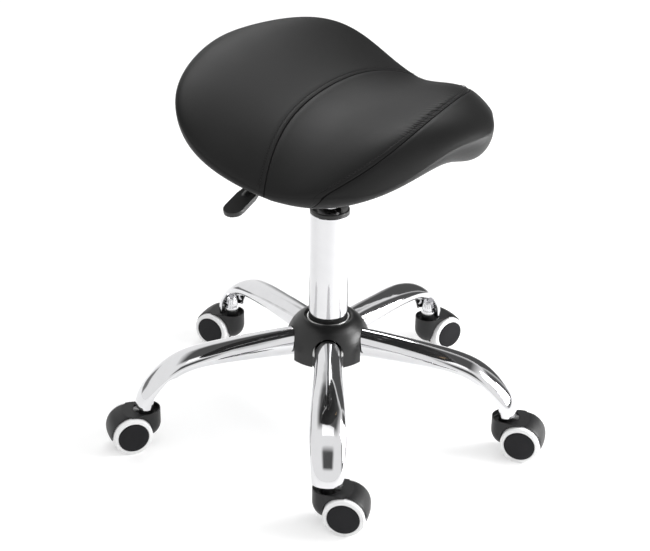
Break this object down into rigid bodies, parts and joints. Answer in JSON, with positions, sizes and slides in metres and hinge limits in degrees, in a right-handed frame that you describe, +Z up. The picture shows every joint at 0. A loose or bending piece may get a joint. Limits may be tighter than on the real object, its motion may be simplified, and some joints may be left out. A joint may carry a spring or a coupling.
{
  "type": "saddle stool",
  "caption": "Height-adjustable saddle stool on a gas lift, with bent tubular legs radiating from a domed hub to hooded twin-wheel casters.",
  "frame": {"origin": "on the floor under the middle of the bounding box, at rest with the seat at its lowest; the column's axis stands 25 mm to -X and 15 mm to +Y of it", "axes": "+Z up; the seat's nose points to -Y, so the sitter faces -Y with their left to +X; the height lever is on the sitter's right at -X"},
  "size_m": [0.5274, 0.5524, 0.5029],
  "materials": {
    "chrome_tube": "mirror-bright chrome plating",
    "zinc_steel": "zinc-plated steel",
    "black_steel": "black powder coat",
    "black_plastic": "satin moulded plastic",
    "cap_plastic": "satin moulded plastic",
    "tread": "smooth pale soft tread",
    "black_rubber": "matt rubber",
    "black_leather": "fine-grained upholstery cover",
    "plywood": "bare moulded plywood"
  },
  "bodies": {
    "base": {"hub_sleeve": "zinc_steel", "hub_cover": "black_plastic", "column_tube": "chrome_tube", "guide_bush": "black_plastic", "thrust_bearing": "zinc_steel", "leg_1": "chrome_tube", "leg_2": "chrome_tube", "leg_3": "chrome_tube", "leg_4": "chrome_tube", "leg_5": "chrome_tube", "caster_1_stem": "zinc_steel", "caster_2_stem": "zinc_steel", "caster_3_stem": "zinc_steel", "caster_4_stem": "zinc_steel", "caster_5_stem": "zinc_steel"},
    "lift_rod": {"piston_rod": "zinc_steel", "retaining_clip": "black_steel", "rubber_buffer": "black_rubber"},
    "seat": {"gas_cylinder": "chrome_tube", "seat_mechanism": "black_steel", "lever_pivot_pin": "zinc_steel", "seat_pan": "plywood", "cushion": "black_leather", "seat_bolt_1": "zinc_steel", "seat_bolt_2": "zinc_steel", "seat_bolt_3": "zinc_steel", "seat_bolt_4": "zinc_steel"},
    "release_pin": {"release_pin": "zinc_steel"},
    "lever": {"lever_rod": "zinc_steel", "lever_paddle": "black_plastic"},
    "caster_1": {"caster_1_hood": "black_plastic", "caster_1_axle": "zinc_steel"},
    "wheel_1_left": {"caster_1_wheel_left": "cap_plastic", "caster_1_tyre_left": "tread"},
    "wheel_1_right": {"caster_1_wheel_right": "cap_plastic", "caster_1_tyre_right": "tread"},
    "caster_2": {"caster_2_hood": "black_plastic", "caster_2_axle": "zinc_steel"},
    "wheel_2_left": {"caster_2_wheel_left": "cap_plastic", "caster_2_tyre_left": "tread"},
    "wheel_2_right": {"caster_2_wheel_right": "cap_plastic", "caster_2_tyre_right": "tread"},
    "caster_3": {"caster_3_hood": "black_plastic", "caster_3_axle": "zinc_steel"},
    "wheel_3_left": {"caster_3_wheel_left": "cap_plastic", "caster_3_tyre_left": "tread"},
    "wheel_3_right": {"caster_3_wheel_right": "cap_plastic", "caster_3_tyre_right": "tread"},
    "caster_4": {"caster_4_hood": "black_plastic", "caster_4_axle": "zinc_steel"},
    "wheel_4_left": {"caster_4_wheel_left": "cap_plastic", "caster_4_tyre_left": "tread"},
    "wheel_4_right": {"caster_4_wheel_right": "cap_plastic", "caster_4_tyre_right": "tread"},
    "caster_5": {"caster_5_hood": "black_plastic", "caster_5_axle": "zinc_steel"},
    "wheel_5_left": {"caster_5_wheel_left": "cap_plastic", "caster_5_tyre_left": "tread"},
    "wheel_5_right": {"caster_5_wheel_right": "cap_plastic", "caster_5_tyre_right": "tread"}
  },
  "joints": [
    {"name": "seat_swivel", "type": "hinge", "parent": "base", "child": "lift_rod", "pos_m": [-0.02474, 0.01506, 0.09399], "axis": [0, 0, 1], "continuous": true},
    {"name": "seat_lift", "type": "slide", "parent": "lift_rod", "child": "seat", "axis": [0, 0, 1], "range_m": [0, 0.13]},
    {"name": "lever_lift", "type": "hinge", "parent": "seat", "child": "lever", "pos_m": [-0.05474, 0.01506, 0.36599], "axis": [0, 1, 0], "range_deg": [0, 4], "stiffness_Nm_per_rad": 1.5},
    {"name": "release_press", "type": "slide", "parent": "seat", "child": "release_pin", "axis": [0, 0, -1], "range_m": [0, 0.0026], "stiffness_N_per_m": 200},
    {"name": "caster_1_swivel", "type": "hinge", "parent": "base", "child": "caster_1", "pos_m": [0.00459, -0.22375, 0.03969], "axis": [0, 0, 1], "continuous": true},
    {"name": "wheel_1_left_spin", "type": "hinge", "parent": "caster_1", "child": "wheel_1_left", "pos_m": [0.00815, -0.24627, 0.02469], "axis": [0.9877, 0.1564, 0], "continuous": true},
    {"name": "wheel_1_right_spin", "type": "hinge", "parent": "caster_1", "child": "wheel_1_right", "pos_m": [0.00815, -0.24627, 0.02469], "axis": [0.9877, 0.1564, 0], "continuous": true},
    {"name": "caster_2_swivel", "type": "hinge", "parent": "base", "child": "caster_2", "pos_m": [0.21144, -0.03085, 0.03969], "axis": [0, 0, 1], "continuous": true},
    {"name": "wheel_2_left_spin", "type": "hinge", "parent": "caster_2", "child": "wheel_2_left", "pos_m": [0.23109, -0.04242, 0.02469], "axis": [0.5075, 0.8616, 0], "continuous": true},
    {"name": "wheel_2_right_spin", "type": "hinge", "parent": "caster_2", "child": "wheel_2_right", "pos_m": [0.23109, -0.04242, 0.02469], "axis": [0.5075, 0.8616, 0], "continuous": true},
    {"name": "caster_3_swivel", "type": "hinge", "parent": "base", "child": "caster_3", "pos_m": [0.09191, 0.22549, 0.03969], "axis": [0, 0, 1], "continuous": true},
    {"name": "wheel_3_left_spin", "type": "hinge", "parent": "caster_3", "child": "wheel_3_left", "pos_m": [0.09231, 0.24829, 0.02469], "axis": [-0.9998, 0.0175, 0], "continuous": true},
    {"name": "wheel_3_right_spin", "type": "hinge", "parent": "caster_3", "child": "wheel_3_right", "pos_m": [0.09231, 0.24829, 0.02469], "axis": [-0.9998, 0.0175, 0], "continuous": true},
    {"name": "caster_4_swivel", "type": "hinge", "parent": "base", "child": "caster_4", "pos_m": [-0.18882, 0.19102, 0.03969], "axis": [0, 0, 1], "continuous": true},
    {"name": "wheel_4_left_spin", "type": "hinge", "parent": "caster_4", "child": "wheel_4_left", "pos_m": [-0.20536, 0.20672, 0.02469], "axis": [-0.6884, -0.7254, 0], "continuous": true},
    {"name": "wheel_4_right_spin", "type": "hinge", "parent": "caster_4", "child": "wheel_4_right", "pos_m": [-0.20536, 0.20672, 0.02469], "axis": [-0.6884, -0.7254, 0], "continuous": true},
    {"name": "caster_5_swivel", "type": "hinge", "parent": "base", "child": "caster_5", "pos_m": [-0.24043, -0.09155, 0.03969], "axis": [0, 0, 1], "continuous": true},
    {"name": "wheel_5_left_spin", "type": "hinge", "parent": "caster_5", "child": "wheel_5_left", "pos_m": [-0.23407, -0.11344, 0.02469], "axis": [0.9603, 0.279, 0], "continuous": true},
    {"name": "wheel_5_right_spin", "type": "hinge", "parent": "caster_5", "child": "wheel_5_right", "pos_m": [-0.23407, -0.11344, 0.02469], "axis": [0.9603, 0.279, 0], "continuous": true}
  ],
  "couplings": [
    {"joint": "release_press", "follows": "lever_lift", "m_per_rad": 0.036}
  ]
}
